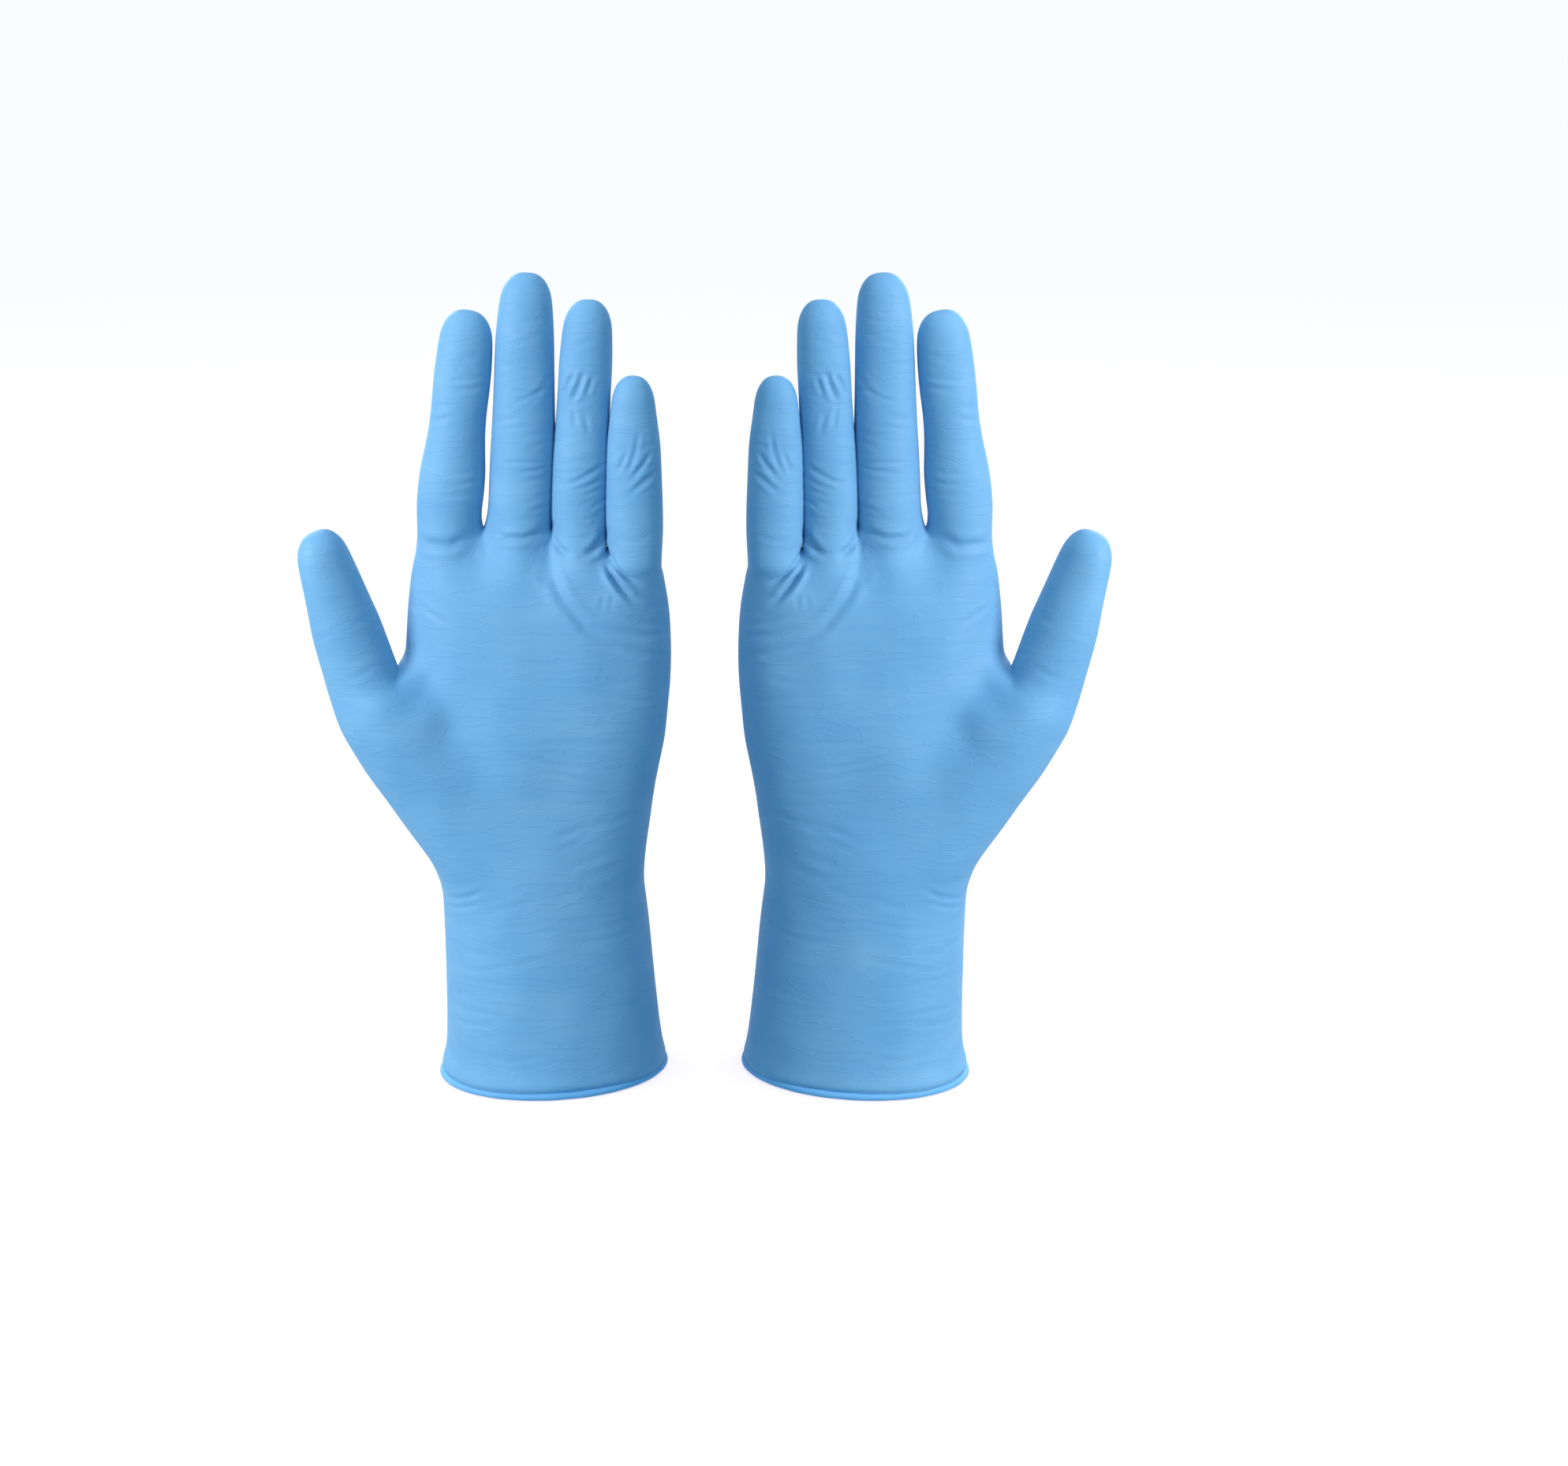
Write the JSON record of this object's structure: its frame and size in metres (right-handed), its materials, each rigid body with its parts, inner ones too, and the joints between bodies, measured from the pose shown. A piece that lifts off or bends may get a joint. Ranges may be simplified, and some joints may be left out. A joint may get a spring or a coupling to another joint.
{
  "type": "pair of rubber gloves",
  "caption": "Pair of thin blue nitrile gloves with rolled cuffs, in the shape they take on a pair of hands, for cleaning and other wet or dirty work.",
  "frame": {"origin": "on the ground that the cuffs stand on, midway between the two gloves", "axes": "+Z along the fingers, +X from the left glove to the right one, and the palms face -Y"},
  "size_m": [0.2376, 0.0572, 0.2448],
  "materials": {
    "film": "satin blue nitrile film",
    "bead": "satin blue nitrile, rolled"
  },
  "bodies": {
    "left_cuff": {"left_cuff": "film", "left_cuff_bead": "bead"},
    "left_palm": {"left_palm": "film"},
    "left_index_finger_root": {"left_index_finger_root": "film"},
    "left_index_finger_mid": {"left_index_finger_mid": "film"},
    "left_index_finger_tip": {"left_index_finger_tip": "film"},
    "left_middle_finger_root": {"left_middle_finger_root": "film"},
    "left_middle_finger_mid": {"left_middle_finger_mid": "film"},
    "left_middle_finger_tip": {"left_middle_finger_tip": "film"},
    "left_ring_finger_root": {"left_ring_finger_root": "film"},
    "left_ring_finger_mid": {"left_ring_finger_mid": "film"},
    "left_ring_finger_tip": {"left_ring_finger_tip": "film"},
    "left_little_finger_root": {"left_little_finger_root": "film"},
    "left_little_finger_mid": {"left_little_finger_mid": "film"},
    "left_little_finger_tip": {"left_little_finger_tip": "film"},
    "left_thumb_root": {"left_thumb_root": "film"},
    "left_thumb_tip": {"left_thumb_tip": "film"},
    "right_cuff": {"right_cuff": "film", "right_cuff_bead": "bead"},
    "right_palm": {"right_palm": "film"},
    "right_index_finger_root": {"right_index_finger_root": "film"},
    "right_index_finger_mid": {"right_index_finger_mid": "film"},
    "right_index_finger_tip": {"right_index_finger_tip": "film"},
    "right_middle_finger_root": {"right_middle_finger_root": "film"},
    "right_middle_finger_mid": {"right_middle_finger_mid": "film"},
    "right_middle_finger_tip": {"right_middle_finger_tip": "film"},
    "right_ring_finger_root": {"right_ring_finger_root": "film"},
    "right_ring_finger_mid": {"right_ring_finger_mid": "film"},
    "right_ring_finger_tip": {"right_ring_finger_tip": "film"},
    "right_little_finger_root": {"right_little_finger_root": "film"},
    "right_little_finger_mid": {"right_little_finger_mid": "film"},
    "right_little_finger_tip": {"right_little_finger_tip": "film"},
    "right_thumb_root": {"right_thumb_root": "film"},
    "right_thumb_tip": {"right_thumb_tip": "film"}
  },
  "joints": [
    {"name": "left_wrist_fold", "type": "hinge", "parent": "left_cuff", "child": "left_palm", "pos_m": [-0.0493, 0, 0.061], "axis": [1, 0, 0], "range_deg": [-30, 40], "stiffness_Nm_per_rad": 0.06},
    {"name": "left_index_finger_root_fold", "type": "hinge", "parent": "left_palm", "child": "left_index_finger_root", "pos_m": [-0.07582, -0.00369, 0.17234], "axis": [0.9921, 0, -0.1253], "range_deg": [-12, 60], "stiffness_Nm_per_rad": 0.006},
    {"name": "left_index_finger_mid_fold", "type": "hinge", "parent": "left_index_finger_root", "child": "left_index_finger_mid", "pos_m": [-0.07359, -0.00429, 0.18999], "axis": [0.9921, 0, -0.1253], "range_deg": [0, 65], "stiffness_Nm_per_rad": 0.004},
    {"name": "left_index_finger_tip_fold", "type": "hinge", "parent": "left_index_finger_mid", "child": "left_index_finger_tip", "pos_m": [-0.07083, -0.00473, 0.21182], "axis": [0.9921, 0, -0.1253], "range_deg": [0, 40], "stiffness_Nm_per_rad": 0.003},
    {"name": "left_middle_finger_root_fold", "type": "hinge", "parent": "left_palm", "child": "left_middle_finger_root", "pos_m": [-0.05441, -0.00428, 0.17237], "axis": [0.9989, 0, -0.0471], "range_deg": [-12, 60], "stiffness_Nm_per_rad": 0.006},
    {"name": "left_middle_finger_mid_fold", "type": "hinge", "parent": "left_middle_finger_root", "child": "left_middle_finger_mid", "pos_m": [-0.05342, -0.00488, 0.19334], "axis": [0.9989, 0, -0.0471], "range_deg": [0, 65], "stiffness_Nm_per_rad": 0.004},
    {"name": "left_middle_finger_tip_fold", "type": "hinge", "parent": "left_middle_finger_mid", "child": "left_middle_finger_tip", "pos_m": [-0.05222, -0.00524, 0.21881], "axis": [0.9989, 0, -0.0471], "range_deg": [0, 40], "stiffness_Nm_per_rad": 0.003},
    {"name": "left_ring_finger_root_fold", "type": "hinge", "parent": "left_palm", "child": "left_ring_finger_root", "pos_m": [-0.03691, -0.00334, 0.17135], "axis": [0.9987, 0, -0.0506], "range_deg": [-12, 60], "stiffness_Nm_per_rad": 0.006},
    {"name": "left_ring_finger_mid_fold", "type": "hinge", "parent": "left_ring_finger_root", "child": "left_ring_finger_mid", "pos_m": [-0.03597, -0.00406, 0.18982], "axis": [0.9987, 0, -0.0506], "range_deg": [0, 65], "stiffness_Nm_per_rad": 0.004},
    {"name": "left_ring_finger_tip_fold", "type": "hinge", "parent": "left_ring_finger_mid", "child": "left_ring_finger_tip", "pos_m": [-0.03478, -0.00469, 0.21328], "axis": [0.9987, 0, -0.0506], "range_deg": [0, 40], "stiffness_Nm_per_rad": 0.003},
    {"name": "left_little_finger_root_fold", "type": "hinge", "parent": "left_palm", "child": "left_little_finger_root", "pos_m": [-0.0205, -0.00412, 0.16581], "axis": [1, 0, 0], "range_deg": [-12, 60], "stiffness_Nm_per_rad": 0.006},
    {"name": "left_little_finger_mid_fold", "type": "hinge", "parent": "left_little_finger_root", "child": "left_little_finger_mid", "pos_m": [-0.0205, -0.00485, 0.18129], "axis": [1, 0, 0], "range_deg": [0, 65], "stiffness_Nm_per_rad": 0.004},
    {"name": "left_little_finger_tip_fold", "type": "hinge", "parent": "left_little_finger_mid", "child": "left_little_finger_tip", "pos_m": [-0.0205, -0.00553, 0.19828], "axis": [1, 0, 0], "range_deg": [0, 40], "stiffness_Nm_per_rad": 0.003},
    {"name": "left_thumb_root_fold", "type": "hinge", "parent": "left_palm", "child": "left_thumb_root", "pos_m": [-0.09869, -0.01191, 0.1303], "axis": [0.6071, 0.7642, 0.218], "range_deg": [-10, 50], "stiffness_Nm_per_rad": 0.006},
    {"name": "left_thumb_tip_fold", "type": "hinge", "parent": "left_thumb_root", "child": "left_thumb_tip", "pos_m": [-0.10313, -0.01262, 0.14515], "axis": [0.6071, 0.7642, 0.218], "range_deg": [0, 70], "stiffness_Nm_per_rad": 0.003},
    {"name": "pair_apart", "type": "slide", "parent": "left_cuff", "child": "right_cuff", "axis": [1, 0, 0], "range_m": [0, 0.1]},
    {"name": "right_wrist_fold", "type": "hinge", "parent": "right_cuff", "child": "right_palm", "pos_m": [0.0493, 0, 0.061], "axis": [1, 0, 0], "range_deg": [-30, 40], "stiffness_Nm_per_rad": 0.06},
    {"name": "right_index_finger_root_fold", "type": "hinge", "parent": "right_palm", "child": "right_index_finger_root", "pos_m": [0.07582, -0.00369, 0.17234], "axis": [0.9921, 0, 0.1253], "range_deg": [-12, 60], "stiffness_Nm_per_rad": 0.006},
    {"name": "right_index_finger_mid_fold", "type": "hinge", "parent": "right_index_finger_root", "child": "right_index_finger_mid", "pos_m": [0.07359, -0.00429, 0.18999], "axis": [0.9921, 0, 0.1253], "range_deg": [0, 65], "stiffness_Nm_per_rad": 0.004},
    {"name": "right_index_finger_tip_fold", "type": "hinge", "parent": "right_index_finger_mid", "child": "right_index_finger_tip", "pos_m": [0.07083, -0.00473, 0.21182], "axis": [0.9921, 0, 0.1253], "range_deg": [0, 40], "stiffness_Nm_per_rad": 0.003},
    {"name": "right_middle_finger_root_fold", "type": "hinge", "parent": "right_palm", "child": "right_middle_finger_root", "pos_m": [0.05441, -0.00428, 0.17237], "axis": [0.9989, 0, 0.0471], "range_deg": [-12, 60], "stiffness_Nm_per_rad": 0.006},
    {"name": "right_middle_finger_mid_fold", "type": "hinge", "parent": "right_middle_finger_root", "child": "right_middle_finger_mid", "pos_m": [0.05342, -0.00488, 0.19334], "axis": [0.9989, 0, 0.0471], "range_deg": [0, 65], "stiffness_Nm_per_rad": 0.004},
    {"name": "right_middle_finger_tip_fold", "type": "hinge", "parent": "right_middle_finger_mid", "child": "right_middle_finger_tip", "pos_m": [0.05222, -0.00524, 0.21881], "axis": [0.9989, 0, 0.0471], "range_deg": [0, 40], "stiffness_Nm_per_rad": 0.003},
    {"name": "right_ring_finger_root_fold", "type": "hinge", "parent": "right_palm", "child": "right_ring_finger_root", "pos_m": [0.03691, -0.00334, 0.17135], "axis": [0.9987, 0, 0.0506], "range_deg": [-12, 60], "stiffness_Nm_per_rad": 0.006},
    {"name": "right_ring_finger_mid_fold", "type": "hinge", "parent": "right_ring_finger_root", "child": "right_ring_finger_mid", "pos_m": [0.03597, -0.00406, 0.18982], "axis": [0.9987, 0, 0.0506], "range_deg": [0, 65], "stiffness_Nm_per_rad": 0.004},
    {"name": "right_ring_finger_tip_fold", "type": "hinge", "parent": "right_ring_finger_mid", "child": "right_ring_finger_tip", "pos_m": [0.03478, -0.00469, 0.21328], "axis": [0.9987, 0, 0.0506], "range_deg": [0, 40], "stiffness_Nm_per_rad": 0.003},
    {"name": "right_little_finger_root_fold", "type": "hinge", "parent": "right_palm", "child": "right_little_finger_root", "pos_m": [0.0205, -0.00412, 0.16581], "axis": [1, 0, 0], "range_deg": [-12, 60], "stiffness_Nm_per_rad": 0.006},
    {"name": "right_little_finger_mid_fold", "type": "hinge", "parent": "right_little_finger_root", "child": "right_little_finger_mid", "pos_m": [0.0205, -0.00485, 0.18129], "axis": [1, 0, 0], "range_deg": [0, 65], "stiffness_Nm_per_rad": 0.004},
    {"name": "right_little_finger_tip_fold", "type": "hinge", "parent": "right_little_finger_mid", "child": "right_little_finger_tip", "pos_m": [0.0205, -0.00553, 0.19828], "axis": [1, 0, 0], "range_deg": [0, 40], "stiffness_Nm_per_rad": 0.003},
    {"name": "right_thumb_root_fold", "type": "hinge", "parent": "right_palm", "child": "right_thumb_root", "pos_m": [0.09869, -0.01191, 0.1303], "axis": [0.6071, -0.7642, -0.218], "range_deg": [-10, 50], "stiffness_Nm_per_rad": 0.006},
    {"name": "right_thumb_tip_fold", "type": "hinge", "parent": "right_thumb_root", "child": "right_thumb_tip", "pos_m": [0.10313, -0.01262, 0.14515], "axis": [0.6071, -0.7642, -0.218], "range_deg": [0, 70], "stiffness_Nm_per_rad": 0.003}
  ],
  "couplings": [
    {"joint": "left_index_finger_tip_fold", "follows": "left_index_finger_mid_fold", "ratio": 0.6154},
    {"joint": "left_middle_finger_tip_fold", "follows": "left_middle_finger_mid_fold", "ratio": 0.6154},
    {"joint": "left_ring_finger_tip_fold", "follows": "left_ring_finger_mid_fold", "ratio": 0.6154},
    {"joint": "left_little_finger_tip_fold", "follows": "left_little_finger_mid_fold", "ratio": 0.6154},
    {"joint": "right_index_finger_tip_fold", "follows": "right_index_finger_mid_fold", "ratio": 0.6154},
    {"joint": "right_middle_finger_tip_fold", "follows": "right_middle_finger_mid_fold", "ratio": 0.6154},
    {"joint": "right_ring_finger_tip_fold", "follows": "right_ring_finger_mid_fold", "ratio": 0.6154},
    {"joint": "right_little_finger_tip_fold", "follows": "right_little_finger_mid_fold", "ratio": 0.6154}
  ]
}
